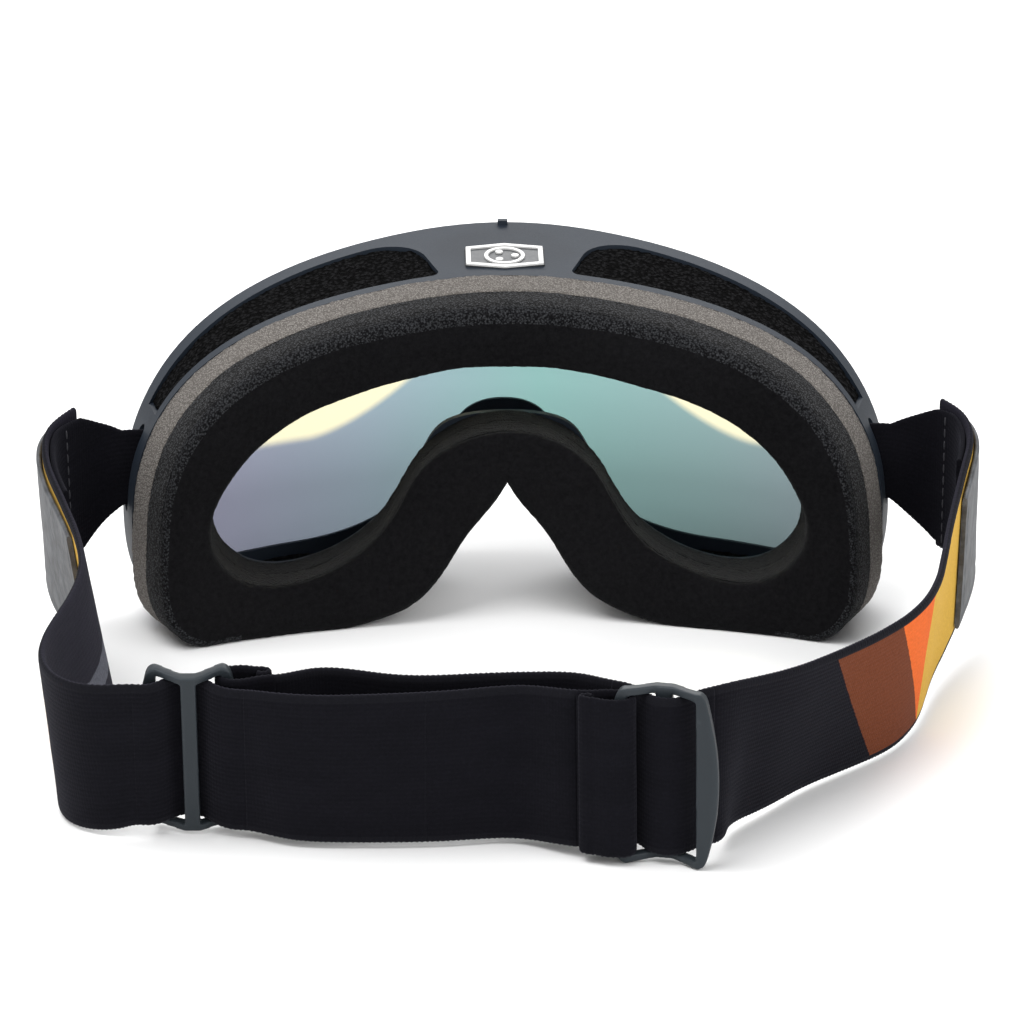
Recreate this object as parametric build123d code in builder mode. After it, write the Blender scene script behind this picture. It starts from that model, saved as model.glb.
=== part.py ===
from build123d import *
import os
from math import cos, radians, sin

# Motorcycle goggles with a two-slider elastic strap, standing on the face foam and on the strap.
# Millimetres. +X is the wearer's right, +Y points forwards out of the lens, +Z is up.
# The origin is the middle of the footprint, on the surface that the goggles stand on.

os.makedirs("parts", exist_ok=True)

SIDES = {"left": -1, "right": 1}

# ---- face curve, in plan: upright cylinders about one axis -
FACE_AXIS_Y = -128.0        # the axis of the face curve
FACE_R = 179.0              # fleece surface that touches the face
FLEECE = 1.6
MID_FOAM = 8.4
BASE_FOAM = 8.0
FLANGE = 2.0
MID_R = FACE_R + FLEECE
BASE_R = MID_R + MID_FOAM
FRAME_BACK_R = BASE_R + BASE_FOAM
FLANGE_R = FRAME_BACK_R + FLANGE

# ---- lens curve, in plan -
LENS_AXIS_Y = -29.0
FRONT_R = 130.0             # front edge of the frame
LENS_R = 128.2              # outer face of the lens
LENS_T = 1.6
SEAT_GAP = 0.3
SEAT_T = 1.0
SEAT_R = LENS_R - LENS_T - SEAT_GAP

# ---- goggle body -
REAR_Y = 27.0               # the two flat sections that the tapering body is lofted between
FRONT_Y = 107.0
NOSE_PEAK = (-0.45, 0.89)   # the foam's nose notch comes to a point, at this slope
FRAME_REAR = {"half": 86.2, "top": 77.5, "bottom": 2.5, "notch": 36.0}
FRAME_FRONT = {"half": 101.4, "top": 86.8, "bottom": 2.5, "notch": 36.0}
FOAM_REAR = {"half": 80.0, "top": 74.4, "bottom": -0.4, "notch": 35.5, "peak": NOSE_PEAK}
FOAM_FRONT = {"half": 120.0, "top": 89.7, "bottom": -0.4, "notch": 35.5, "peak": NOSE_PEAK}
WALL = 2.2
LENS_LAND = 6.0             # width of the lens seat, from the outside of the frame
LENS_GAP = 0.4
NUB_W = 2.4                 # the small moulded nub at the middle of the brow
NUB_L = 1.8
NUB_TOP = 87.0
TALL = 120.0                # taller than the goggles: upright cutters reach from below to above

# ---- slots and vents -
SLOT_Y = 56.8
SLOT_Z = 38.5
SLOT_H = 22.0
SLOT_W = 4.0
VENT_RIM = 5.0              # frame left in front of a vent window
VENT_BACK = 3.0             # and behind it
VENT_FOAM = 2.6
VENT_RECESS = 0.7
TOP_VENT_IN = 20.5          # a top vent runs between these two distances from the middle
TOP_VENT_OUT = 90.0
TOP_VENT_LOW = 53.0         # and down to this height
LOW_VENT_IN = 42.0
LOW_VENT_OUT = 70.0
VENT_CORNER = 2.0
VENT_BEND = 12.0            # the rounder corner, next to the badge

# ---- badge -
BADGE_W = 19.0
BADGE_H = 14.6
BADGE_Y = 80.0
BADGE_Z = 82.8
BADGE_TILT = 6.6
BADGE_T = 1.0
BADGE_RIM = 1.1
EMBLEM_R = 4.9
EMBLEM_LINE = 0.9

# ---- strap -
STRAP_W = 37.6
STRAP_T = 1.6
PLY_GAP = 0.3
PANEL_T = 1.2
PANEL_SLOT_W = 19.0         # the anchor panel tapers to this width in the slot
STOP_R = 1.7
STOP_X = 82.6
PATCH_W = 33.0
PATCH_T = 1.2
END_GAP = 0.4               # between the end of one strap length and the next

# ---- sliders: outer bars on one side of the strap, centre bar on the other -
SLIDER_L = 21.5
SLIDER_H = 42.0
BAR_T = 2.6
OUTER_BAR = 3.2
CENTRE_BAR = 3.6
WEB = 2.0
BAR_OFFSET = 1.7            # half the depth of the arch
BAR_CLEAR = 0.35            # between a bar and the sewn end that is folded round it
BAR_WALL = 1.2              # thickness of that fold
SEWN_L = 7.5                # how far a sewn strap end reaches past the bar that it holds
SEWN_RISE = 2.8             # and how far its tail lies towards the head

# A station of the strap: x, y and height of its middle, and how far its upper edge leans outwards in degrees.
LEFT_SIDE = [
    (-103.6, 56.0, 35.4, 0),
    (-108.5, 48.0, 33.0, 2),
    (-108.4, 38.0, 29.6, 3),
    (-104.2, 24.0, 26.4, 5),
    (-97.6, 4.0, 22.6, 9),
    (-95.6, -11.0, 20.8, 10),
    (-97.4, -27.0, 19.6, 9),
    (-101.4, -43.0, 19.2, 6),
    (-103.2, -57.0, 19.2, 5),
    (-101.2, -69.0, 19.2, 7),
    (-94.6, -77.4, 19.7, 11),
    (-88.6, -79.6, 20.4, 13),
]
RIGHT_SIDE = [
    (104.6, 57.2, 35.4, 0),
    (108.4, 52.6, 34.0, 0),
    (110.0, 44.0, 31.8, 0),
    (108.0, 33.0, 29.0, 0),
    (103.8, 18.0, 25.8, 2),
    (98.0, -3.0, 22.4, 6),
    (94.0, -20.0, 20.6, 8),
    (88.4, -33.6, 19.6, 11),
    (79.4, -45.6, 19.2, 15),
    (66.4, -59.4, 19.2, 17),
    (55.4, -72.2, 19.8, 15),
    (46.6, -82.4, 20.8, 10),
]
LEFT_LAYER = [
    (-55.0, -84.4, 20.3, 12),
    (-50.0, -86.0, 20.2, 11),
    (-36.0, -86.8, 20.0, 10),
    (-14.0, -85.4, 20.0, 8),
    (0.0, -84.6, 20.2, 6),
]
RIGHT_LAYER = [
    (12.4, -81.0, 21.1, 4),
    (3.0, -78.0, 20.5, 5),
    (-10.0, -76.6, 20.0, 7),
    (-28.0, -75.2, 20.0, 10),
    (-44.0, -73.2, 21.2, 12),
]

# Across a slider, in its own plan: distance along the strap, and distance towards the head.
LEFT_WEAVE = [
    (-12.0, -2.3),
    (-9.0, -2.4),
    (-6.6, -1.5),
    (-3.9, 0.5),
    (0.0, 1.3),
    (3.2, -0.2),
    (5.8, -2.7),
    (9.2, -4.3),
    (12.0, -4.7),
]
RIGHT_WEAVE = [
    (9.6, 6.1),
    (7.2, 4.0),
    (4.4, 0.6),
    (2.4, -0.9),
    (0.0, -1.3),
    (-3.2, 0.2),
    (-5.8, 2.7),
    (-9.2, 4.6),
    (-12.0, 5.3),
]
LEFT_SLIDER = {
    "at": (-72.0, -77.6, 21.4),
    "yaw": 0.0,
    "lean": 14.0,
    "outer_bars_inwards": 1,
    "sewn_bar": 1,
}
RIGHT_SLIDER = {
    "at": (29.7, -94.24, 21.2),
    "yaw": -14.0,
    "lean": 4.0,
    "outer_bars_inwards": -1,
    "sewn_bar": -1,
}


# ---- helpers -
def across(y):
    """The upright plane that faces backwards at depth y: sketch x is X and sketch y is Z."""
    return Plane(origin=(0, y, 0), x_dir=(1, 0, 0), z_dir=(0, -1, 0))


def goggle_outline(half, top, bottom, notch, inset=0.0, peak=(-1, 0)):
    """The goggles' outline seen from behind: brow, temple, cheek and nose notch, then the mirror image."""
    side = half - inset
    brow = top - inset
    base = bottom + inset
    bridge = notch + inset
    tall = brow - base
    flank = [
        (0, brow),
        (0.31 * side, base + 0.970 * tall),
        (0.61 * side, base + 0.895 * tall),
        (0.84 * side, base + 0.755 * tall),
        (0.955 * side, base + 0.580 * tall),
        (side, base + 0.290 * tall),
        (0.970 * side, base + 0.085 * tall),
        (0.850 * side, base),
    ]
    notch_flank = [
        (0.47 * half + inset, base),
        (19.0 + inset, base + 8.6),
        (9.6 + inset, base + 0.62 * (bridge - base)),
        (0, bridge),
    ]
    with BuildSketch() as outline:
        with BuildLine():
            Spline(flank, tangents=[(1, 0), (-1, 0)])
            Line(flank[-1], notch_flank[0])
            Spline(notch_flank, tangents=[(-1, 0), peak])
            mirror(about=Plane.YZ)
        make_face()
    return outline.sketch


def opening_outline(grow=0.0):
    """The outline of the eye opening: brow, temple, cheek and nose bridge, then the mirror image."""
    rim = [
        (0, 64.9 + grow),
        (28.0, 61.4 + grow),
        (55.5 + 0.7 * grow, 51.0 + 0.7 * grow),
        (68.6 + grow, 37.0),
        (70.6 + grow, 24.0),
        (62.5, 14.0 - grow),
        (46.0, 13.6 - grow),
        (30.0 - 0.7 * grow, 24.0 - 0.7 * grow),
        (20.4 - grow, 39.0),
        (0, 48.2 - grow),
    ]
    with BuildSketch() as outline:
        with BuildLine():
            Spline(rim, tangents=[(1, 0), (-1, 0)])
            mirror(about=Plane.YZ)
        make_face()
    return outline.sketch


def curved_body(rear, front, inset=0.0):
    """The tapering solid between the two flat sections of the goggles."""
    with BuildPart() as body:
        with BuildSketch(across(REAR_Y)):
            add(goggle_outline(**rear, inset=inset))
        with BuildSketch(across(FRONT_Y)):
            add(goggle_outline(**front, inset=inset))
        loft()
    return body.part


def curved_layer(rear, front, inset, axis_y, inner_r, outer_r):
    """The part of that solid above the ground that lies between two upright cylinders about the same axis."""
    with BuildPart() as layer:
        add(curved_body(rear, front, inset))
        with BuildSketch(Plane.XY):
            with Locations((0, axis_y)):
                Circle(outer_r)
                Circle(inner_r, mode=Mode.SUBTRACT)
        extrude(amount=2 * TALL, mode=Mode.INTERSECT)
    return layer.part


def eye_opening(grow=0.0):
    """The straight plug that fills the eye opening, for cutting it out of a layer."""
    with BuildPart() as plug:
        with BuildSketch(across(FRONT_Y)):
            add(opening_outline(grow))
        extrude(amount=2 * TALL)
    return plug.part


def station_planes(stations):
    """A plane square to the strap at each station: sketch x points outwards and sketch y up the strap."""
    points = [Vector(x, y, z) for x, y, z, lean in stations]
    planes = []
    for i, point in enumerate(points):
        ahead = points[min(i + 1, len(points) - 1)]
        behind = points[max(i - 1, 0)]
        along = (ahead - behind).normalized()
        out = along.cross(Vector(0, 0, 1)).normalized()
        if out.dot(Vector(point.X, point.Y + 20, 0)) < 0:
            out = out * -1
        lean = radians(stations[i][3])
        up = (Vector(0, 0, 1) * cos(lean) + out * sin(lean)).normalized()
        up = (up - along * up.dot(along)).normalized()
        side = up.cross(along).normalized()
        if side.dot(out) < 0:
            side = side * -1
        planes.append(Plane(origin=point, x_dir=side, z_dir=side.cross(up)))
    return planes


def strip(sections, thickness):
    """A lofted strip through its sections; each is a plane, a distance outwards and a width."""
    with BuildPart() as strap:
        for plane, offset, width in sections:
            with BuildSketch(plane):
                with Locations((offset, 0)):
                    Rectangle(thickness, width)
        loft(ruled=True)
    return strap.part


def finish(part, name):
    """Label a finished piece and write it."""
    part.label = name
    export_step(part, f"parts/{name}.step")


# ---- frame -
def vent_window(inner, outer, low, high):
    """The plug that fills one vent window between two heights, right or left of the middle by sign."""
    with BuildPart() as plug:
        with BuildSketch(Plane.XY.offset(low)):
            with Locations((0, LENS_AXIS_Y)):
                Circle(FRONT_R - VENT_RIM)
            with Locations((0, FACE_AXIS_Y)):
                Circle(FRAME_BACK_R + VENT_BACK, mode=Mode.SUBTRACT)
            with BuildLine():
                Polyline(
                    (0.72 * inner, REAR_Y),
                    (0.72 * inner, FRAME_BACK_R + FACE_AXIS_Y),
                    (1.2 * inner, FRONT_R + LENS_AXIS_Y),
                    (outer, FRONT_R + LENS_AXIS_Y),
                    (outer, REAR_Y),
                    close=True,
                )
            make_face(mode=Mode.INTERSECT)
        extrude(amount=high - low)
        fillet(plug.edges().filter_by(Axis.Z).sort_by(Axis.Y)[:-1], VENT_CORNER)
        fillet(plug.edges().filter_by(Axis.Z).sort_by(Axis.Y)[-1], VENT_BEND)
    return plug.part


def shell_band(outside, inside):
    """The skin of the goggle body between two depths below its outer surface."""
    with BuildPart() as skin:
        add(curved_body(FRAME_REAR, FRAME_FRONT, outside))
        add(curved_body(FRAME_REAR, FRAME_FRONT, inside), mode=Mode.SUBTRACT)
    return skin.part


flange = curved_layer(FRAME_REAR, FRAME_FRONT, 0.3, FACE_AXIS_Y, FRAME_BACK_R, FLANGE_R)
lens_seat = curved_layer(FRAME_REAR, FRAME_FRONT, 0.3, LENS_AXIS_Y, SEAT_R - SEAT_T, SEAT_R)
lens_window = curved_body(FRAME_REAR, FRAME_FRONT, LENS_LAND)
goggle_shell = shell_band(0, WALL)
vents = {}
for side, sign in SIDES.items():
    vents["top_vent_foam_" + side] = vent_window(sign * TOP_VENT_IN, sign * TOP_VENT_OUT, TOP_VENT_LOW, TALL)
    vents["lower_vent_foam_" + side] = vent_window(
        sign * LOW_VENT_IN, sign * LOW_VENT_OUT, -TALL / 4, SLOT_Z / 2
    )

badge_plane = Plane(
    origin=(0, BADGE_Y, BADGE_Z),
    x_dir=(1, 0, 0),
    z_dir=(0, -sin(radians(BADGE_TILT)), cos(radians(BADGE_TILT))),
)


def badge_outline(inset):
    """The six-sided badge, pointed to the front and the back."""
    wide = BADGE_W / 2 - inset
    point = BADGE_H / 2 - 1.15 * inset
    shoulder = BADGE_H * 0.36 - 0.85 * inset
    with BuildSketch() as outline:
        Polygon(
            (-wide, shoulder),
            (0, point),
            (wide, shoulder),
            (wide, -shoulder),
            (0, -point),
            (-wide, -shoulder),
            align=None,
        )
    return outline.sketch


with BuildPart() as frame:
    add(goggle_shell)
    with BuildSketch(Plane.XY.offset(-TALL / 4)):
        with Locations((0, LENS_AXIS_Y)):
            Circle(FRONT_R)
        with Locations((0, FACE_AXIS_Y)):
            Circle(FRAME_BACK_R, mode=Mode.SUBTRACT)
    extrude(amount=2 * TALL, mode=Mode.INTERSECT)
    with BuildSketch(Plane.XY.offset(NUB_TOP)):
        with Locations((0, FRONT_R + LENS_AXIS_Y - 0.2 - NUB_L / 2)):
            Rectangle(NUB_W, NUB_L)
    extrude(amount=-WALL)
    add(flange)
    add(eye_opening(0.5), mode=Mode.SUBTRACT)
    add(lens_seat)
    add(lens_window.intersect(lens_seat), mode=Mode.SUBTRACT)
    for window in vents.values():
        add(window, mode=Mode.SUBTRACT)
    for sign in SIDES.values():
        with BuildSketch(Plane.YZ):
            with Locations((SLOT_Y, SLOT_Z)):
                SlotOverall(SLOT_H, SLOT_W, rotation=90)
        extrude(amount=sign * TALL, mode=Mode.SUBTRACT)
    with BuildSketch(badge_plane):
        add(badge_outline(-0.1))
    extrude(amount=TALL / 4, mode=Mode.SUBTRACT)
finish(frame.part, "frame")

# ---- lens -
with BuildPart() as lens:
    add(curved_layer(FRAME_REAR, FRAME_FRONT, WALL + LENS_GAP, LENS_AXIS_Y, LENS_R - LENS_T, LENS_R))
finish(lens.part, "lens")

# ---- face foam: a grey base layer, a dark middle layer and a fleece skin -
FOAM_LAYERS = {
    "face_foam_base": (BASE_R, FRAME_BACK_R),
    "face_foam_mid": (MID_R, BASE_R),
    "face_fleece": (FACE_R, MID_R),
}
for name, (inner_r, outer_r) in FOAM_LAYERS.items():
    with BuildPart() as foam:
        add(curved_layer(FOAM_REAR, FOAM_FRONT, 0, FACE_AXIS_Y, inner_r, outer_r))
        add(eye_opening(), mode=Mode.SUBTRACT)
    finish(foam.part, name)

# ---- vent foam -
vent_skin = shell_band(VENT_RECESS, VENT_RECESS + VENT_FOAM)
for name, window in vents.items():
    with BuildPart() as vent_foam:
        add(window)
        add(vent_skin, mode=Mode.INTERSECT)
    finish(vent_foam.part, name)

# ---- badge -
with BuildPart() as badge_plate:
    with BuildSketch(badge_plane):
        add(badge_outline(0))
    extrude(amount=BADGE_T)
finish(badge_plate.part, "badge_plate")

with BuildPart() as badge_rim:
    with BuildSketch(badge_plane.offset(BADGE_T)):
        add(badge_outline(0.2))
        add(badge_outline(0.2 + BADGE_RIM), mode=Mode.SUBTRACT)
    extrude(amount=0.4)
finish(badge_rim.part, "badge_rim")

with BuildPart() as badge_emblem:
    with BuildSketch(badge_plane.offset(BADGE_T)):
        Circle(EMBLEM_R)
        Circle(EMBLEM_R - EMBLEM_LINE, mode=Mode.SUBTRACT)
        with PolarLocations(EMBLEM_R * 0.52, 3):
            Circle(EMBLEM_LINE)
    extrude(amount=0.4)
finish(badge_emblem.part, "badge_emblem")

# ---- the frames of reference of the two sliders -
def slider_planes(slider):
    """Two planes on a slider: one that faces out of the strap, and one square to it, seen from above."""
    yaw = radians(slider["yaw"])
    lean = radians(slider["lean"])
    along = Vector(cos(yaw), sin(yaw), 0)
    level_out = Vector(sin(yaw), -cos(yaw), 0)
    out = level_out * cos(lean) - Vector(0, 0, 1) * sin(lean)
    up = out.cross(along)
    face = Plane(origin=slider["at"], x_dir=along, z_dir=out)
    plan = Plane(origin=Vector(*slider["at"]), x_dir=along, z_dir=up)
    return face, plan


def beside_slider(slider, u, v):
    """The strap's section plane beside a slider: distance along the strap, and towards the head."""
    face, plan = slider_planes(slider)
    middle = plan.from_local_coords(Vector(u, v, 0))
    return Plane(origin=middle, x_dir=face.z_dir, z_dir=face.x_dir * -1)


def weave_end(slider, weave, which):
    """The plane just beyond the first (0) or the last (-1) point of the woven strap."""
    u, v = weave[which]
    return beside_slider(slider, u + (END_GAP if u > 0 else -END_GAP), v)


def sewn_tail(slider):
    """Where the flat end of a sewn strap end lies: along the strap, and towards the head."""
    bar_u = (SLIDER_L - OUTER_BAR) / 2
    return slider["sewn_bar"] * (bar_u + SEWN_L), slider["outer_bars_inwards"] * BAR_OFFSET + SEWN_RISE


# ---- strap anchors -
for side, stations, patched, slider, weave in (
    ("left", LEFT_SIDE, slice(0, 5), LEFT_SLIDER, LEFT_WEAVE),
    ("right", RIGHT_SIDE, slice(1, 5), RIGHT_SLIDER, RIGHT_WEAVE),
):
    sign = SIDES[side]
    stop_x = sign * STOP_X
    lead_in = [
        (stop_x + sign * 2.6, SLOT_Y, SLOT_Z, 0),
        (sign * 93.2, SLOT_Y + 0.2, SLOT_Z, 0),
        (sign * 98.0, SLOT_Y + 0.6, SLOT_Z - 1.8, 0),
    ]
    strap_planes = station_planes(stations)
    tuck = (STRAP_T + PANEL_T) / 2 + PLY_GAP
    lead_widths = [PANEL_SLOT_W, PANEL_SLOT_W, PANEL_SLOT_W + 9.0]
    panel = [(plane, 0, width) for plane, width in zip(station_planes(lead_in), lead_widths)]
    panel += [(plane, -tuck, STRAP_W - 1.6) for plane in strap_planes[:4]]
    with BuildPart() as anchor_panel:
        add(strip(panel, PANEL_T))
        with BuildSketch(Plane.XY.offset(SLOT_Z - PANEL_SLOT_W / 2)):
            with Locations((stop_x, SLOT_Y)):
                Circle(STOP_R + 0.1 + PANEL_T)
        extrude(amount=PANEL_SLOT_W)
        with BuildSketch(Plane.XY.offset(SLOT_Z - PANEL_SLOT_W)):
            with Locations((stop_x, SLOT_Y)):
                Circle(STOP_R + 0.1)
        extrude(amount=2 * PANEL_SLOT_W, mode=Mode.SUBTRACT)
    finish(anchor_panel.part, "anchor_panel_" + side)

    with BuildPart() as strap_stop:
        with BuildSketch(Plane.XY.offset(SLOT_Z - PANEL_SLOT_W / 2 - 1.0)):
            with Locations((stop_x, SLOT_Y)):
                Circle(STOP_R)
        extrude(amount=PANEL_SLOT_W + 2.0)
    finish(strap_stop.part, "strap_stop_" + side)

    to_slider = strap_planes + [weave_end(slider, weave, 0)]
    finish(strip([(plane, 0, STRAP_W) for plane in to_slider], STRAP_T), "strap_side_" + side)
    patch_out = (STRAP_T + PATCH_T) / 2 + PLY_GAP
    patch = [(plane, patch_out, PATCH_W) for plane in strap_planes[patched]]
    finish(strip(patch, PATCH_T), "strap_patch_" + side)

# ---- strap sliders, with the strap woven through them and the sewn ends that hold them -
def weave_face(points, thickness):
    """A thin strip along a smooth line through the points."""
    with BuildSketch() as strip_face:
        with BuildLine():
            Spline(points)
        trace(line_width=thickness)
    return strip_face.sketch


def slider_profile(outer_v):
    """A slider in plan: flat outer bars, a flat centre bar on the strap's other side, and sloping webs."""
    steps = [
        (-SLIDER_L / 2, outer_v),
        (OUTER_BAR - SLIDER_L / 2, outer_v),
        (-CENTRE_BAR / 2, -outer_v),
        (CENTRE_BAR / 2, -outer_v),
        (SLIDER_L / 2 - OUTER_BAR, outer_v),
        (SLIDER_L / 2, outer_v),
    ]
    near = [(u, v - BAR_T / 2) for u, v in steps]
    far = [(u, v + BAR_T / 2) for u, v in steps]
    with BuildSketch() as profile:
        Polygon(*near, *reversed(far), align=None)
        fillet(profile.vertices(), 0.8)
    return profile.sketch


for side, other, slider, weave in (
    ("left", "right", LEFT_SLIDER, LEFT_WEAVE),
    ("right", "left", RIGHT_SLIDER, RIGHT_WEAVE),
):
    face, plan = slider_planes(slider)
    outer_v = slider["outer_bars_inwards"] * BAR_OFFSET
    bar_u = slider["sewn_bar"] * (SLIDER_L - OUTER_BAR) / 2
    window = (SLIDER_L - 2 * OUTER_BAR - CENTRE_BAR) / 2
    window_u = (CENTRE_BAR + window) / 2
    sleeve_l = OUTER_BAR + 2 * BAR_CLEAR
    sleeve_t = BAR_T + 2 * BAR_CLEAR
    with BuildPart() as strap_slider:
        with BuildSketch(plan.offset(-SLIDER_H / 2)):
            add(slider_profile(outer_v))
        extrude(amount=SLIDER_H)
        with BuildSketch(face.offset(-TALL / 4)):
            with Locations((-window_u, 0), (window_u, 0)):
                RectangleRounded(window, SLIDER_H - 2 * WEB, 0.3)
        extrude(amount=TALL / 2, mode=Mode.SUBTRACT)
    finish(strap_slider.part, "strap_slider_" + side)

    with BuildPart() as strap_weave:
        with BuildSketch(plan.offset(-STRAP_W / 2)):
            add(weave_face(weave, STRAP_T))
        extrude(amount=STRAP_W)
    finish(strap_weave.part, "strap_weave_" + side)

    with BuildPart() as sewn_end:
        with BuildSketch(plan.offset(-STRAP_W / 2)):
            with Locations((bar_u, outer_v)):
                RectangleRounded(sleeve_l + 2 * BAR_WALL, sleeve_t + 2 * BAR_WALL, 2.0)
            with Locations(sewn_tail(slider)):
                Circle(STRAP_T + PLY_GAP / 2)
            make_hull()
            with Locations((bar_u, outer_v)):
                RectangleRounded(sleeve_l, sleeve_t, 0.8, mode=Mode.SUBTRACT)
        extrude(amount=STRAP_W)
    finish(sewn_end.part, "sewn_end_" + other)

# ---- the two strap layers that lie between the sliders -
for side, stations, start, held in (
    ("left", LEFT_LAYER, weave_end(LEFT_SLIDER, LEFT_WEAVE, -1), RIGHT_SLIDER),
    ("right", RIGHT_LAYER, weave_end(RIGHT_SLIDER, RIGHT_WEAVE, -1), LEFT_SLIDER),
):
    tail_u, tail_v = sewn_tail(held)
    reach = STRAP_T + PLY_GAP / 2 + END_GAP
    end = beside_slider(held, tail_u + held["sewn_bar"] * reach, tail_v)
    layer = [start] + station_planes(stations) + [end]
    finish(strip([(plane, 0, STRAP_W) for plane in layer], STRAP_T), "strap_layer_" + side)
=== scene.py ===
"""Motorcycle goggles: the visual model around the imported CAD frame. Millimetres until add_mesh()."""
from math import cos, pi, radians, sin

import bmesh
import bpy
import numpy as np
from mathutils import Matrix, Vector, noise


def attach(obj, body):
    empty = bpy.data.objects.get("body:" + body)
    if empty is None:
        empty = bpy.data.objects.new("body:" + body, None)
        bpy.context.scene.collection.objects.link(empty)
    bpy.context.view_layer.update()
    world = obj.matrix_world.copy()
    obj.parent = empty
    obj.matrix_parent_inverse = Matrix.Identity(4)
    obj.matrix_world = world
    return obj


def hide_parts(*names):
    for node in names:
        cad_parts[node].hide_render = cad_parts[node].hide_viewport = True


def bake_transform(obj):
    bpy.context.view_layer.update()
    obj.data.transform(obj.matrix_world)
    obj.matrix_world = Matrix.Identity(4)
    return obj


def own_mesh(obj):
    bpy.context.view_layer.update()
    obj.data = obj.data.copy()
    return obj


MM = 0.001
SIDES = {"left": -1, "right": 1}

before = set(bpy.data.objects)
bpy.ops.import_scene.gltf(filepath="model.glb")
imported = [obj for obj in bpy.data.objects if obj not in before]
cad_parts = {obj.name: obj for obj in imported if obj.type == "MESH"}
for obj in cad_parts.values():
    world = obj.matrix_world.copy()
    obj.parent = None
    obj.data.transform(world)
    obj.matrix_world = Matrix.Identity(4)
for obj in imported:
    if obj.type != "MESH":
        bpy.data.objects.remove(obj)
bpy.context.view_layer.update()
pieces = {}

# ---- sizes of the design that the soft pieces follow -----------------------------------------------------
FACE_AXIS_Y = -128.0
FACE_R = 179.0
MID_R = 180.6
BASE_R = 189.0
FRAME_BACK_R = 197.0
REAR_Y = 27.0
FRONT_Y = 107.0
FOAM_REAR = {"half": 80.0, "top": 74.4, "bottom": -0.4, "notch": 35.5}
FOAM_FRONT = {"half": 120.0, "top": 89.7, "bottom": -0.4, "notch": 35.5}
NOSE_PEAK = (-0.45, 0.89)
SLOT_Y = 56.8
SLOT_Z = 38.5
STOP_X = 82.6
STRAP_W = 37.6
STRAP_T = 1.6
PANEL_T = 1.2
PANEL_SLOT_W = 19.0
PATCH_T = 1.2
PATCH_W = 33.0
PLY_GAP = 0.3
SLIDER_L = 21.5
SLIDER_H = 42.0
OUTER_BAR = 3.2
BAR_T = 2.6
BAR_OFFSET = 1.7
FOLLOW_FROM = 4.0            # a point this many stations before the slider is taken from a side strap's route, but nothing uses it
FOLLOW_FULLY = 1.5           # and a second one this many stations before it, also unused
TAB_SPAN = (0, 6)            # the stations of its route that the sewn tab covers
TAB_SEAMS = (3.6, 5.8)       # where its two rows of stitches are
STITCH_L = 2.1
STITCH_STEP = 3.0
MIDDLE_X = -21.2             # half way between the sliders

# The strap's route: x, y and height of its middle, and its outward lean in degrees.
LEFT_SIDE = [
    (-103.6, 56.0, 35.4, 0),
    (-108.5, 48.0, 33.0, 2),
    (-108.4, 38.0, 29.6, 3),
    (-104.2, 24.0, 26.4, 5),
    (-97.6, 4.0, 22.6, 9),
    (-95.6, -11.0, 20.8, 10),
    (-97.4, -27.0, 19.6, 9),
    (-101.4, -43.0, 19.2, 6),
    (-103.2, -57.0, 19.2, 5),
    (-101.2, -69.0, 19.2, 7),
    (-94.6, -77.4, 19.7, 11),
    (-88.6, -79.6, 20.4, 13),
]
RIGHT_SIDE = [
    (104.6, 57.2, 35.4, 0),
    (108.4, 52.6, 34.0, 0),
    (110.0, 44.0, 31.8, 0),
    (108.0, 33.0, 29.0, 0),
    (103.8, 18.0, 25.8, 2),
    (98.0, -3.0, 22.4, 6),
    (94.0, -20.0, 20.6, 8),
    (88.4, -33.6, 19.6, 11),
    (79.4, -45.6, 19.2, 15),
    (66.4, -59.4, 19.2, 17),
    (55.4, -72.2, 19.8, 15),
    (46.6, -82.4, 20.8, 10),
]
LEFT_LAYER = [
    (-55.0, -84.4, 20.3, 12),
    (-50.0, -86.0, 20.2, 11),
    (-36.0, -86.8, 20.0, 10),
    (-14.0, -85.4, 20.0, 8),
    (0.0, -84.6, 20.2, 6),
]
RIGHT_LAYER = [
    (12.4, -81.0, 21.1, 4),
    (3.0, -78.0, 20.5, 5),
    (-10.0, -76.6, 20.0, 7),
    (-28.0, -75.2, 20.0, 10),
    (-44.0, -73.2, 21.2, 12),
]
# Across a slider: distance along it, and distance towards the head.
LEFT_WEAVE = [
    (-12.0, -2.3), (-9.0, -2.4), (-6.6, -1.5), (-3.9, 0.5), (0.0, 1.3),
    (3.2, -0.2), (5.8, -2.7), (9.2, -4.3), (12.0, -4.7),
]
RIGHT_WEAVE = [
    (9.6, 6.1), (7.2, 4.0), (4.4, 0.6), (2.4, -0.9), (0.0, -1.3),
    (-3.2, 0.2), (-5.8, 2.7), (-9.2, 4.6), (-12.0, 5.3),
]
# inwards: 1 if the outer bars are towards the head; hold: which of them holds the sewn end;
# stretch: its length as a share of SLIDER_L
LEFT_SLIDER = {
    "at": (-72.0, -77.6, 21.4), "yaw": 0.0, "lean": 14.0, "inwards": 1, "hold": 1, "stretch": 0.93,
}
RIGHT_SLIDER = {
    "at": (29.7, -94.24, 21.2), "yaw": -14.0, "lean": 4.0, "inwards": -1, "hold": -1, "stretch": 1.0,
}


# ---- camera, light and floor -----------------------------------------------------------------------------
AZIMUTH = -1.5
ELEVATION = 20.0
CAMERA_DISTANCE = 1300.0
TARGET = (3.1, 129.0, 0.0)


def aim(obj, target):
    obj.rotation_euler = (Vector(target) - obj.location).to_track_quat("-Z", "Y").to_euler()


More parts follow.
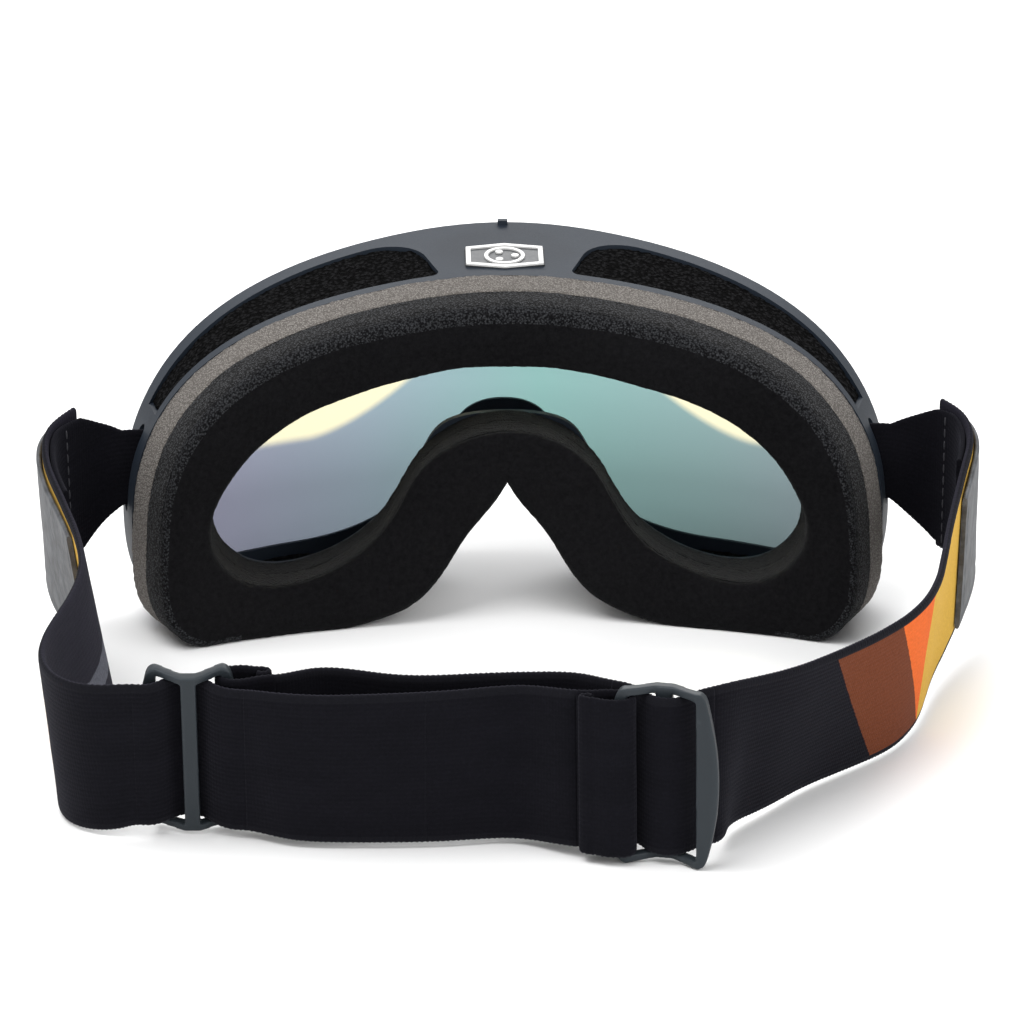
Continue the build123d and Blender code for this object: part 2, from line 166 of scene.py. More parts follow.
def make_camera():
    a, e = radians(AZIMUTH), radians(ELEVATION)
    back = Vector((sin(a) * cos(e), -cos(a) * cos(e), sin(e)))
    camera = bpy.data.objects.new("camera", bpy.data.cameras.new("camera"))
    camera.data.lens = 177.9
    camera.data.sensor_width = 36.0
    camera.data.clip_end = 20
    camera.location = (Vector(TARGET) + back * CAMERA_DISTANCE) * MM
    bpy.context.scene.collection.objects.link(camera)
    aim(camera, Vector(TARGET) * MM)
    bpy.context.scene.camera = camera


def add_light(name, place, target, size, watts, colour=(1, 1, 1)):
    light = bpy.data.lights.new(name, "AREA")
    light.shape = "RECTANGLE"
    light.size, light.size_y = size
    light.energy = watts
    light.color = colour
    obj = bpy.data.objects.new(name, light)
    obj.location = place
    bpy.context.scene.collection.objects.link(obj)
    aim(obj, target)


def make_stage():
    bpy.ops.mesh.primitive_plane_add(size=12)
    floor = bpy.context.object
    floor.name = "floor"
    floor.data.materials.append(floor_material())
    add_light("key", (-0.5, -0.3, 1.3), (0, 0, 0.03), (1.0, 0.8), 15)
    add_light("fill", (0.9, -0.9, 0.8), (0, 0, 0.04), (0.8, 0.8), 7)
    add_light("rim", (0.1, 1.3, 0.9), (0, 0.05, 0.05), (1.4, 0.5), 11)
    world = bpy.data.worlds.new("world")
    world.use_nodes = True
    background = world.node_tree.nodes["Background"]
    background.inputs["Color"].default_value = (1, 1, 1, 1)
    background.inputs["Strength"].default_value = 0.85
    bpy.context.scene.world = world
    bpy.context.scene.view_settings.view_transform = "Standard"


# ---- node material helpers -------------------------------------------------------------------------------
class Shader:
    """A material under construction: short calls that add nodes and return output sockets."""

    def __init__(self, name):
        self.material = bpy.data.materials.new(name)
        self.material.use_nodes = True
        self.nodes = self.material.node_tree.nodes
        self.links = self.material.node_tree.links
        self.principled = self.nodes["Principled BSDF"]

    def plug(self, socket, value):
        if hasattr(value, "links"):
            self.links.new(value, socket)
        else:
            socket.default_value = value

    def place(self):
        return self.nodes.new("ShaderNodeTexCoord").outputs["Object"]

    def attribute(self, name):
        node = self.nodes.new("ShaderNodeAttribute")
        node.attribute_name = name
        return node.outputs["Vector"]

    def split(self, vector):
        node = self.nodes.new("ShaderNodeSeparateXYZ")
        self.plug(node.inputs[0], vector)
        return node.outputs

    def noise(self, vector, scale, detail=3.0, rough=0.55):
        node = self.nodes.new("ShaderNodeTexNoise")
        self.plug(node.inputs["Vector"], vector)
        node.inputs["Scale"].default_value = scale
        node.inputs["Detail"].default_value = detail
        node.inputs["Roughness"].default_value = rough
        return node.outputs["Fac"]

    def cells(self, vector, scale, feature="F1"):
        node = self.nodes.new("ShaderNodeTexVoronoi")
        node.feature = feature
        self.plug(node.inputs["Vector"], vector)
        node.inputs["Scale"].default_value = scale
        return node.outputs["Distance"]

    def math(self, operation, a, b=0.0, c=0.0):
        node = self.nodes.new("ShaderNodeMath")
        node.operation = operation
        for socket, value in zip(node.inputs, (a, b, c)):
            self.plug(socket, value)
        return node.outputs[0]

    def stretch(self, vector, scale):
        node = self.nodes.new("ShaderNodeVectorMath")
        node.operation = "MULTIPLY"
        self.plug(node.inputs[0], vector)
        node.inputs[1].default_value = scale
        return node.outputs[0]

    def ramp(self, value, stops):
        node = self.nodes.new("ShaderNodeValToRGB")
        self.plug(node.inputs[0], value)
        elements = node.color_ramp.elements
        while len(elements) < len(stops):
            elements.new(1.0)
        for element, (position, colour) in zip(elements, stops):
            element.position = position
            element.color = (*colour, 1)
        return node.outputs[0]

    def mix(self, share, a, b):
        node = self.nodes.new("ShaderNodeMix")
        node.data_type = "RGBA"
        self.plug(node.inputs["Factor"], share)
        for socket, value in ((node.inputs[6], a), (node.inputs[7], b)):
            self.plug(socket, value if hasattr(value, "links") else (*value, 1))
        return node.outputs[2]

    def multiply(self, a, b):
        node = self.nodes.new("ShaderNodeMix")
        node.data_type = "RGBA"
        node.blend_type = "MULTIPLY"
        node.inputs["Factor"].default_value = 1.0
        self.plug(node.inputs[6], a)
        self.plug(node.inputs[7], b)
        return node.outputs[2]

    def bump(self, height, strength, distance_mm, under=None):
        node = self.nodes.new("ShaderNodeBump")
        self.plug(node.inputs["Height"], height)
        node.inputs["Strength"].default_value = strength
        node.inputs["Distance"].default_value = distance_mm * MM
        if under is not None:
            self.plug(node.inputs["Normal"], under)
        return node.outputs[0]

    def finish(self, colour, roughness, normal=None, **fixed):
        self.plug(self.principled.inputs["Base Color"], colour if hasattr(colour, "links") else (*colour, 1))
        self.plug(self.principled.inputs["Roughness"], roughness)
        if normal is not None:
            self.plug(self.principled.inputs["Normal"], normal)
        for name, value in fixed.items():
            self.principled.inputs[name.replace("_", " ")].default_value = value
        return self.material


def floor_material():
    s = Shader("floor_white")
    return s.finish((0.93, 0.93, 0.93), 0.55)


def plastic_material(name, dark, light, roughness):
    """Moulded plastic with a fine spark-eroded grain and a painted highlight on its convex edges."""
    s = Shader(name)
    place = s.place()
    grain = s.noise(place, 2600, 2)
    cloud = s.noise(place, 28, 3)
    edge = s.nodes.new("ShaderNodeNewGeometry").outputs["Pointiness"]
    # painted highlight: convex edges are mixed towards the light colour
    edge_highlight = s.ramp(edge, [(0.50, (0, 0, 0)), (0.58, (0.5, 0.5, 0.5))])
    colour = s.mix(s.math("MULTIPLY", cloud, 0.6), dark, light)
    colour = s.mix(edge_highlight, colour, light)
    rough = s.math("ADD", s.math("MULTIPLY", grain, 0.16), roughness - 0.08)
    return s.finish(colour, rough, s.bump(grain, 0.25, 0.05), Specular_IOR_Level=0.17)


def foam_material(name, dark, light, scale, depth, shade_eye_opening=False, shine=0.08):
    """Cut open-cell foam, with dark pores between pale cell walls. Its inner wall at the eye opening can be
    painted near black: painted shade inside the goggles.
    """
    s = Shader(name)
    place = s.place()
    cell = s.cells(place, scale)
    pores = s.noise(place, scale * 1.7, 4, 0.7)
    cloud = s.noise(place, 45, 3)
    height = s.math("ADD", s.math("MULTIPLY", cell, -1.2), s.math("MULTIPLY", pores, 1.6))
    colour = s.ramp(s.math("ADD", height, s.math("MULTIPLY", cloud, 0.12)), [(0.18, dark), (0.62, light)])
    if shade_eye_opening:
        # painted shade: the inner wall at the eye opening turns near black
        inwards = s.split(s.attribute("chart"))[0]
        painted_opening_shade = s.math("GREATER_THAN", s.math("MULTIPLY_ADD", cloud, 0.06, inwards), 0.97)
        colour = s.mix(painted_opening_shade, colour, (0.005, 0.005, 0.0055))
    return s.finish(
        colour, 0.95, s.bump(height, 0.9, depth),
        Sheen_Weight=0.7 * shine, Sheen_Roughness=0.6, Specular_IOR_Level=shine,
    )


def fleece_material():
    """Brushed black fleece, lumpy where the pile clumps. Near the outer edge the dark foam is bare."""
    s = Shader("fleece_black")
    place = s.place()
    pile = s.noise(place, 900, 5, 0.8)
    clump = s.noise(place, 160, 4, 0.65)
    cloud = s.noise(place, 22, 2)
    height = s.math("ADD", s.math("MULTIPLY", pile, 0.5), s.math("MULTIPLY", clump, 0.8))
    lift = s.math("ADD", s.math("MULTIPLY", pile, 0.8), s.math("MULTIPLY", cloud, 0.25))
    inset = s.split(s.attribute("chart"))[1]
    x, _, z = s.split(place)[:3]
    at_temple = s.math("GREATER_THAN", s.math("ABSOLUTE", x), 0.064)
    off_nose = s.math("MAXIMUM", at_temple, s.math("GREATER_THAN", z, 0.052))
    bare = s.math("MULTIPLY", off_nose, s.math("LESS_THAN", s.math("MULTIPLY_ADD", clump, 0.9, inset), 3.7))
    pores = s.math("SUBTRACT", s.noise(place, 3200, 4, 0.7), s.math("MULTIPLY", s.cells(place, 1900), 0.5))
    colour = s.ramp(lift, [(0.35, (0.0028, 0.0028, 0.0032)), (0.85, (0.011, 0.011, 0.012))])
    foam = s.ramp(pores, [(0.16, (0.004, 0.004, 0.0045)), (0.56, (0.046, 0.048, 0.052))])
    colour = s.mix(bare, colour, foam)
    return s.finish(
        colour, 1.0, s.bump(height, 0.7, 0.4),
        Sheen_Weight=0.04, Sheen_Roughness=0.45, Specular_IOR_Level=0.03,
    )


def webbing_material(name, stripes):
    """Elastic webbing: lengthwise ribs and a brushed pile. Striped webbing has stripes printed on its outer
    face and a lighter streak of painted highlight on its inner face.

    A stripe is (where it ends along the strap at mid-width, shift per millimetre across, colour)."""
    s = Shader(name)
    route = s.attribute("chart")
    along, across, side = s.split(route)[:3]
    rib = s.math("SINE", s.math("MULTIPLY", across, 2 * pi / 1.15))
    tick = s.math("SINE", s.math("MULTIPLY", along, 2 * pi / 0.75))
    pile = s.noise(s.place(), 1500, 4, 0.75)
    patchy = s.noise(s.stretch(route, (0.05, 0.16, 1.0)), 1.0, 3)
    weave = s.math("ADD", s.math("MULTIPLY", rib, 0.25), s.math("MULTIPLY", tick, 0.12))
    height = s.math("ADD", weave, s.math("MULTIPLY", pile, 1.3))
    outer = s.mix(patchy, (0.0026, 0.0026, 0.0038), (0.0054, 0.0052, 0.0076))
    inner = s.mix(patchy, (0.0085, 0.0080, 0.0120), (0.016, 0.0150, 0.022))
    wobble = s.math("MULTIPLY", s.math("SUBTRACT", pile, 0.5), 0.9)
    printed = outer
    for end, shift, colour in reversed(stripes):
        line = s.math("ADD", s.math("MULTIPLY_ADD", across, shift, end), wobble)
        inside = s.math("LESS_THAN", along, line)
        dull, bright = (tuple(share * c for c in colour) for share in (0.55, 1.25))
        shade = s.mix(s.math("MULTIPLY", pile, 1.2), dull, bright)
        printed = s.mix(inside, printed, shade)
    edge = s.math("GREATER_THAN", s.math("ABSOLUTE", across), STRAP_W / 2 - 1.7)
    printed = s.mix(edge, printed, (0.006, 0.006, 0.008))
    if stripes:
        # painted highlight: a lighter streak on the inner face, below the middle of the strap
        middle, half_length, below, reach = 80.0, 24.0, 5.5, 5.6
        ragged = s.math("MULTIPLY_ADD", patchy, 5.0, s.math("ABSOLUTE", s.math("ADD", across, below)))
        ahead = s.math("ABSOLUTE", s.math("SUBTRACT", along, middle))
        painted_streak = s.math("MULTIPLY", s.math("LESS_THAN", ragged, reach), s.math("LESS_THAN", ahead, half_length))
        inner = s.mix(s.math("MULTIPLY", painted_streak, s.math("MULTIPLY", pile, 1.3)), inner, (0.13, 0.135, 0.16))
        colour = s.mix(s.math("GREATER_THAN", side, 0.0), inner, printed)
    else:
        colour = outer
    fuzz = s.ramp(pile, [(0.50, (0, 0, 0)), (0.80, (0.06, 0.06, 0.06))])
    colour = s.mix(fuzz, colour, (0.05, 0.05, 0.075))
    return s.finish(
        colour, 0.95, s.bump(height, 0.6, 0.18), Sheen_Weight=0.035, Sheen_Roughness=0.5,
        Sheen_Tint=(0.8, 0.8, 1.0, 1), Specular_IOR_Level=0.06,
    )


def leather_material():
    """Mottled grey leather with creases and a soft pebble grain."""
    s = Shader("patch_leather")
    place = s.place()
    pebble = s.cells(place, 620)
    crease = s.cells(place, 150, "DISTANCE_TO_EDGE")
    blotch = s.noise(place, 260, 5, 0.7)
    height = s.math("ADD", s.math("MULTIPLY", pebble, 0.5), s.math("MULTIPLY", crease, 1.5))
    colour = s.ramp(s.math("ADD", s.math("MULTIPLY", blotch, 0.8), s.math("MULTIPLY", crease, 0.3)), [
        (0.32, (0.018, 0.019, 0.022)),
        (0.55, (0.075, 0.080, 0.088)),
        (0.80, (0.19, 0.20, 0.215)),
    ])
    return s.finish(colour, s.math("MULTIPLY_ADD", blotch, 0.3, 0.45), s.bump(height, 0.7, 0.25))


def lens_material():
    """Clear tinted lens: teal in the middle, lavender to the left, grey-blue to the right. Its coating turns
    straw-coloured above a line that dips towards both sides."""
    s = Shader("lens_tint")
    x, _, z = s.split(s.place())[:3]
    tint = s.ramp(s.math("MULTIPLY_ADD", x, 5.5, 0.5), [
        (0.05, (0.225, 0.215, 0.290)),
        (0.30, (0.215, 0.265, 0.310)),
        (0.55, (0.170, 0.300, 0.285)),
        (0.78, (0.185, 0.275, 0.275)),
        (0.95, (0.200, 0.240, 0.262)),
    ])
    # painted shade and light: the tint is darkened towards the bottom of the lens and lightened near its top
    shade = s.ramp(s.math("MULTIPLY", z, 10.0), [(0.22, (0.70, 0.70, 0.70)), (0.46, (1.1, 1.1, 1.1))])
    tint = s.multiply(tint, shade)
    aside = s.math("ABSOLUTE", s.math("SUBTRACT", x, 0.0065))
    rise = s.math("POWER", s.math("MAXIMUM", s.math("MULTIPLY_ADD", aside, -41.0, 2.255), 0.0), 1.6)
    line = s.math("MULTIPLY_ADD", rise, 0.0121, 0.0335)
    above = s.math("MULTIPLY", s.math("SUBTRACT", z, line), 25.0)
    straw = s.ramp(above, [(0.0, (0, 0, 0)), (0.05, (1, 1, 1)), (0.40, (1, 1, 1)), (0.80, (0.2, 0.2, 0.2))])
    tint = s.mix(straw, tint, (0.66, 0.62, 0.43))
    return s.finish(tint, 0.02, None, Transmission_Weight=1.0, IOR=1.06, Specular_IOR_Level=0.5)


def thread_material():
    s = Shader("thread")
    twist = s.noise(s.place(), 3000, 2)
    colour = s.mix(twist, (0.012, 0.012, 0.016), (0.05, 0.05, 0.06))
    return s.finish(colour, 0.7, s.bump(twist, 0.5, 0.05))


def print_material(name, base):
    """Satin moulded plastic with faint mottling."""
    s = Shader(name)
    speck = s.noise(s.place(), 1200, 3)
    colour = s.mix(s.math("MULTIPLY", speck, 0.8), tuple(0.72 * c for c in base), base)
    return s.finish(colour, s.math("MULTIPLY_ADD", speck, 0.2, 0.35), s.bump(speck, 0.2, 0.05))


# ---- curves ----------------------------------------------------------------------------------------------
class Curve:
    """A smooth curve through points, with optional end directions. at(k) is the place k points along it."""

    def __init__(self, points, first=None, last=None, measure=3):
        p = np.array(points, float)
        n = len(p)
        h = np.linalg.norm(np.diff(p[:, :measure], axis=0), axis=1)
        d = np.diff(p, axis=0) / h[:, None]
        matrix = np.zeros((n, n))
        right = np.zeros_like(p)
        for i in range(1, n - 1):
            matrix[i, i - 1 : i + 2] = h[i], 2 * (h[i - 1] + h[i]), h[i - 1]
            right[i] = 3 * (h[i] * d[i - 1] + h[i - 1] * d[i])
        for i, tangent, inner, chord in ((0, first, 1, d[0]), (n - 1, last, n - 2, d[-1])):
            matrix[i, i] = 1.0 if tangent is not None else 2.0
            matrix[i, inner] = 0.0 if tangent is not None else 1.0
            right[i] = tangent if tangent is not None else 3 * chord
        self.p, self.h, self.m = p, h, np.linalg.solve(matrix, right)

    def at(self, k):
        k = np.asarray(k, float)
        i = np.clip(k.astype(int), 0, len(self.p) - 2)
        f = (k - i)[..., None]
        h = self.h[i][..., None]
        return (
            (2 * f**3 - 3 * f**2 + 1) * self.p[i]
            + (f**3 - 2 * f**2 + f) * h * self.m[i]
            + (3 * f**2 - 2 * f**3) * self.p[i + 1]
            + (f**3 - f**2) * h * self.m[i + 1]
        )


def even(points, step):
    """Positions along a polyline, as fractional indices, one about every step."""
    length = np.concatenate([[0], np.cumsum(np.linalg.norm(np.diff(points, axis=0), axis=1))])
    count = max(int(round(length[-1] / step)), 2)
    return np.interp(np.linspace(0, length[-1], count + 1), length, np.arange(len(points)))


# ---- meshes ----------------------------------------------------------------------------------------------
def add_mesh(name, vertices, faces, material, attribute=None):
    """A smooth-shaded object from millimetre coordinates, with its faces turned outwards."""
    mesh = bpy.data.meshes.new(name)
    mesh.from_pydata((np.asarray(vertices, float).reshape(-1, 3) * MM).tolist(), [], faces)
    if attribute is not None:
        layer = mesh.attributes.new("chart", "FLOAT_VECTOR", "POINT")
        layer.data.foreach_set("vector", np.asarray(attribute, np.float32).ravel())
    turned = bmesh.new()
    turned.from_mesh(mesh)
    bmesh.ops.recalc_face_normals(turned, faces=turned.faces)
    turned.to_mesh(mesh)
    turned.free()
    mesh.materials.append(material)
    mesh.polygons.foreach_set("use_smooth", [len(face) == 4 for face in faces])
    obj = bpy.data.objects.new(name, mesh)
    bpy.context.scene.collection.objects.link(obj)
    pieces[name] = obj
    return obj


def loft(rows, cols, ring=False, tube=True):
    """Quads between neighbouring rows of a grid; ring closes the rows and tube closes each row."""
    faces = []
    for i in range(rows if ring else rows - 1):
        for j in range(cols if tube else cols - 1):
            a, b = i * cols + j, i * cols + (j + 1) % cols
            below = (i + 1) % rows * cols
            faces.append((a, b, below + (j + 1) % cols, below + j))
    if tube and not ring:
        faces.append(tuple(range(cols)))
        faces.append(tuple(range((rows - 1) * cols, rows * cols)))
    return faces


def speckle(points, size, seed):
    """Smooth noise from -1 to 1 at each point; size is the lump's width in millimetres."""
    offset = Vector((seed * 13.7, seed * 7.1, seed * 3.3))
    values = [noise.noise(Vector(p) / size + offset) for p in points.reshape(-1, 3)]
    return np.array(values).reshape(points.shape[:-1])


def settle(obj, body, slot, *nodes):
    """The piece rides on a body and stands for CAD nodes, which it hides; slot is not used."""
    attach(obj, body)
    if nodes:
        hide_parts(*nodes)


# ---- face foam -------------------------------------------------------------------------------------------
def foam_half(half, top, bottom, notch):
    """Half of the foam's outer outline, as curves for the flank and the nose notch, in (x, z)."""
    tall = top - bottom
    flank = [
        (0, top),
        (0.31 * half, bottom + 0.970 * tall),
        (0.61 * half, bottom + 0.895 * tall),
        (0.84 * half, bottom + 0.755 * tall),
        (0.955 * half, bottom + 0.580 * tall),
        (half, bottom + 0.290 * tall),
        (0.970 * half, bottom + 0.085 * tall),
        (0.850 * half, bottom),
    ]
    nose = [
        (0.47 * half, bottom),
        (19.0, bottom + 8.6),
        (9.6, bottom + 0.62 * (notch - bottom)),
        (0, notch),
    ]
    return Curve(flank, (1, 0), (-1, 0), 2), Curve(nose, (-1, 0), NOSE_PEAK, 2)


def outer_edge(outline, t):
    """The outer outline at t: 0 is the brow, 2 to 3 is the flat cheek and 6 is the nose."""
    flank, nose = outline
    on_flank = flank.at(np.interp(t, [0, 1, 2], [0, 4, 7]))
    on_nose = nose.at(np.clip(t - 3, 0, 3))
    line = np.clip(t - 2, 0, 1)[:, None]
    flat = on_flank * (1 - line) + on_nose * line
    return np.where((t < 2)[:, None], on_flank, np.where((t > 3)[:, None], on_nose, flat))


RIM = [
    (0, 64.9),
    (28.0, 61.4),
    (55.5, 51.0),
    (68.6, 37.0),
    (70.6, 24.0),
    (62.5, 14.0),
    (46.0, 13.6),
    (30.0, 24.0),
    (20.4, 39.0),
    (0, 48.2),
]


def foam_ring(step):
    """The ring's outer edge at the two flat sections, and its inner edge, in (x, z), all the way round."""
    rim = Curve(RIM, (1, 0), (-1, 0), 2)
    rear, front = foam_half(**FOAM_REAR), foam_half(**FOAM_FRONT)
    dense = np.linspace(0, 6, 2400)
    t = np.interp(even(outer_edge(rear, dense), step), np.arange(len(dense)), dense)
    inner = rim.at(np.interp(t, [0, 1, 2, 3, 4, 5, 6], [0, 3, 5, 6, 7, 8, 9]))
    halves = [outer_edge(rear, t), outer_edge(front, t), inner]
    return [np.concatenate([h, h[-2:0:-1] * (-1, 1)]) for h in halves]


def foam_place(ring, inset, radius):
    """Points of the foam, some inset from its outer edge, on the upright cylinder of each radius."""
    rear, front, inner = (r[:, None, :] for r in ring)
    width = np.linalg.norm(0.6 * rear + 0.4 * front - inner, axis=-1)
    share = (inset / width)[..., None]
    y = np.full(inset.shape, 50.0)
    for _ in range(6):
        depth = ((y - REAR_Y) / (FRONT_Y - REAR_Y))[..., None]
        flat = (rear + (front - rear) * depth) * (1 - share) + inner * share
        y = np.sqrt(radius**2 - flat[..., 0] ** 2) + FACE_AXIS_Y
    return np.stack([flat[..., 0], y, flat[..., 1]], axis=-1), width


def rounded(distance, radius):
    """How far a rounded edge has dropped at a distance from the edge."""
    near = np.clip(radius - distance, 0, radius)
    return radius - np.sqrt(radius**2 - near**2)


def foam_layer(name, near_r, far_r, outer_round, inner_round, crown, step, lumps, material):
    """One foam layer between two radii, with rounded edges on the face side and a slightly uneven skin."""
    ring = foam_ring(step)
    rows = len(ring[0])
    across = (1 - np.cos(np.linspace(0, pi, 30))) / 2
    _, width = foam_place(ring, np.zeros((rows, 1)), np.full((rows, 1), far_r))
    inset = width * across[None, :]
    drop = rounded(inset, outer_round) + rounded(width - inset, inner_round)
    face = near_r + np.minimum(drop, far_r - near_r - 0.3) - crown * np.sin(pi * across)[None, :] ** 2
    wall = np.linspace(0, 1, 9)[1:-1][None, :]
    inner_wall = face[:, -1:] + (far_r - face[:, -1:]) * wall
    outer_wall = far_r + (face[:, :1] - far_r) * wall
    radius = np.concatenate([face, inner_wall, np.full_like(face, far_r), outer_wall], axis=1)
    all_inset = np.concatenate([inset, inner_wall * 0 + width, inset[:, ::-1], outer_wall * 0], axis=1)
    points, _ = foam_place(ring, all_inset, radius)
    share = all_inset / np.broadcast_to(width, all_inset.shape)
    chart = np.stack([share, all_inset, share * 0], axis=-1)
    obj = add_mesh(name, points, loft(rows, radius.shape[1], ring=True), material, chart)
    roughen(obj, lumps)
    return obj


def roughen(obj, lumps):
    """Moves each vertex along its normal by layers of noise: (width, height, seed) in millimetres."""
    mesh = obj.data
    count = len(mesh.vertices)
    place = np.empty(count * 3)
    normal = np.empty(count * 3)
    mesh.vertices.foreach_get("co", place)
    mesh.vertex_normals.foreach_get("vector", normal)
    place = place.reshape(-1, 3) / MM
    lift = sum(height * speckle(place, size, seed) for size, height, seed in lumps)
    place += normal.reshape(-1, 3) * lift[:, None]
    place[:, 2] = np.maximum(place[:, 2], 0)
    mesh.vertices.foreach_set("co", (place * MM).ravel())
    mesh.update()


def make_foam():
    fine = 0.55
    grey = foam_material("foam_grey", (0.125, 0.113, 0.103), (0.285, 0.265, 0.245), 2200, 0.4, shade_eye_opening=True)
    dark = foam_material("foam_dark", (0.0040, 0.0040, 0.0045), (0.048, 0.049, 0.053), 1900, 0.4, shade_eye_opening=True)
    base = foam_layer(
        "foam_base_layer", BASE_R, FRAME_BACK_R, 1.2, 0.6, 0, fine, [(1.1, 0.22, 1), (9, 0.2, 2)], grey
    )
    mid = foam_layer("foam_mid_layer", MID_R, BASE_R, 4.5, 2.5, 0, fine, [(1.1, 0.18, 3), (9, 0.25, 4)], dark)
    skin = foam_layer(
        "fleece_skin", FACE_R, MID_R + 1.2, 2.2, 1.6, 0.7, fine, [(1.3, 0.10, 5), (14, 0.45, 6)],
        fleece_material(),
    )
    for obj, slot, node in (
        (base, "grey_foam", "face_foam_base"),
        (mid, "dark_foam", "face_foam_mid"),
        (skin, "fleece", "face_fleece"),
    ):
        settle(obj, "goggles", slot, node)


# ---- pieces made from a CAD node's own shape -------------------------------------------------------------
def moulded(name, node, voxel, smoothing, material):
    """A copy of a CAD node with its edges rounded: a fine voxel skin, smoothed."""
    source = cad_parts[node]
    obj = bpy.data.objects.new(name, source.data.copy())
    bpy.context.scene.collection.objects.link(obj)
    obj.data.materials.clear()
    skin = obj.modifiers.new("skin", "REMESH")
    skin.mode = "VOXEL"
    skin.voxel_size = voxel * MM
    soft = obj.modifiers.new("soft", "SMOOTH")
    soft.factor = 0.5
    soft.iterations = smoothing
    bpy.context.view_layer.update()
    result = bpy.data.meshes.new_from_object(obj.evaluated_get(bpy.context.evaluated_depsgraph_get()))
    obj.modifiers.clear()
    obj.data = result
    obj.data.name = name
    result.materials.append(material)
    result.polygons.foreach_set("use_smooth", [True] * len(result.polygons))
    pieces[name] = obj
    return obj


def make_vents():
    black, lit = (0.0012, 0.0012, 0.0013), (0.014, 0.014, 0.015)
    material = foam_material("foam_vent", black, lit, 900, 0.9, shine=0.01)
    voxel = 0.55
    for level in ("top", "lower"):
        for side in SIDES:
            node = f"{level}_vent_foam_{side}"
            obj = moulded(f"{level}_vent_mesh_{side}", node, voxel, 2, material)
            roughen(obj, [(1.3, 0.28, 7), (6, 0.2, 8)])
            settle(obj, "goggles", "vent_foam", node)


# ---- sliders ---------------------------------------------------------------------------------------------
def slider_axes(slider):
    """The slider's middle and its three directions: along the strap, out of it, and up it."""
    yaw, lean = radians(slider["yaw"]), radians(slider["lean"])
    along = np.array([cos(yaw), sin(yaw), 0])
    level_out = np.array([sin(yaw), -cos(yaw), 0])
    out = level_out * cos(lean) - np.array([0, 0, 1]) * sin(lean)
    return np.array(slider["at"]), along, out, np.cross(out, along)


def make_slider(side, slider, body, material):
    """The three-bar slider, with bowed outer bars and waisted ends."""
    node = "strap_slider_" + side
    obj = moulded("slider_" + side, node, 0.32, 6, material)
    middle, along, out, up = slider_axes(slider)
    count = len(obj.data.vertices)
    place = np.empty(count * 3)
    obj.data.vertices.foreach_get("co", place)
    place = place.reshape(-1, 3) / MM - middle
    u, v, w = place @ along, place @ out, place @ up
    reach = np.clip((np.abs(u) - (SLIDER_L / 2 - OUTER_BAR)) / OUTER_BAR, 0, 1)
    bow = np.clip(1 - (2 * w / SLIDER_H) ** 2, 0, 1)
    u = (u + np.sign(u) * reach * (2.5 * bow - 0.7)) * slider["stretch"]
    v = v - slider["inwards"] * reach * 0.7 * bow
    end = np.clip((np.abs(w) - (SLIDER_H / 2 - 2.4)) / 2.4, 0, 1)
    waist = np.clip(1 - (u / (SLIDER_L / 2 - 2)) ** 2, 0, 1)
    w = w - np.sign(w) * end * 0.5 * waist
    w = w * (1 - 7.0 / SLIDER_H * (1 - np.sqrt(1 - 0.98 * reach**2)))
    place = middle + u[:, None] * along + v[:, None] * out + w[:, None] * up
    place[:, 2] = np.maximum(place[:, 2], 0.05)
    obj.data.vertices.foreach_set("co", (place * MM).ravel())
    obj.data.update()
    settle(obj, body, "slider_plastic", node)


# ---- straps ----------------------------------------------------------------------------------------------
def station(x, y, z, lean, hand, ahead):
    """A station with its direction up the strap; ahead is the way that the strap runs there."""
    out = hand * np.cross(ahead, (0, 0, 1))
    out = out / np.linalg.norm(out)
    up = np.array([0, 0, 1]) * cos(radians(lean)) + out * sin(radians(lean))
    return [x, y, z, *up]


def stations(rows, hand):
    """Stations with up directions from rows of (x, y, z, lean)."""
    place = np.array([r[:3] for r in rows])
    ahead = np.gradient(place, axis=0)
    return [station(*row, hand, a) for row, a in zip(rows, ahead)]


def beside(slider, points):
    """Stations given as (along the slider, towards the head)."""
    middle, along, out, up = slider_axes(slider)
    return [[*(middle + u * along - v * out), *up] for u, v in points]


class Route:
    """A strap's middle line through stations of place and up direction; hand says which way is outwards."""

    def __init__(self, knots, hand):
        self.curve = Curve(knots)
        self.hand = hand
        self.last = len(knots) - 1
        self.dense = np.linspace(0, self.last, 6000)
        steps = np.linalg.norm(np.diff(self.curve.at(self.dense)[:, :3], axis=0), axis=1)
        self.length = np.concatenate([[0], np.cumsum(steps)])

    def sample(self, knots):
        """Place, up, out and distance along at the given knots."""
        here = self.curve.at(knots)
        beyond = self.curve.at(np.minimum(knots + 0.02, self.last))
        before = self.curve.at(np.maximum(knots - 0.02, 0))
        up = here[:, 3:] / np.linalg.norm(here[:, 3:], axis=1)[:, None]
        out = self.hand * np.cross((beyond - before)[:, :3], up)
        out = out / np.linalg.norm(out, axis=1)[:, None]
        return here[:, :3], up, out, np.interp(knots, self.dense, self.length)

    def between(self, first, last):
        """Knots from first to last, evenly spaced along the strap."""
        start, end = np.interp([first, last], self.dense, self.length)
        count = max(int(round((end - start) / (0.45))), 3)
        return np.interp(np.linspace(start, end, count + 1), self.length, self.dense)

    def knot_at_x(self, first, last, x):
        """The knot between two others where the middle line passes a given x."""
        tried = np.linspace(first, last, 2000)
        return float(tried[np.argmin(np.abs(self.curve.at(tried)[:, 0] - x))])


def strap_profile(thickness, count=26):
    """A webbing section as (share of half width, distance out): two faces and two rounded edges."""
    share = np.sin(np.linspace(-pi / 2, pi / 2, count))
    bulge = thickness / 2 * np.clip((1 - np.abs(share) ** 40), 0, 1) ** 0.5
    outer = np.stack([share, bulge], axis=1)
    inner = np.stack([share[::-1][1:-1], -bulge[::-1][1:-1]], axis=1)
    return np.concatenate([outer, inner])


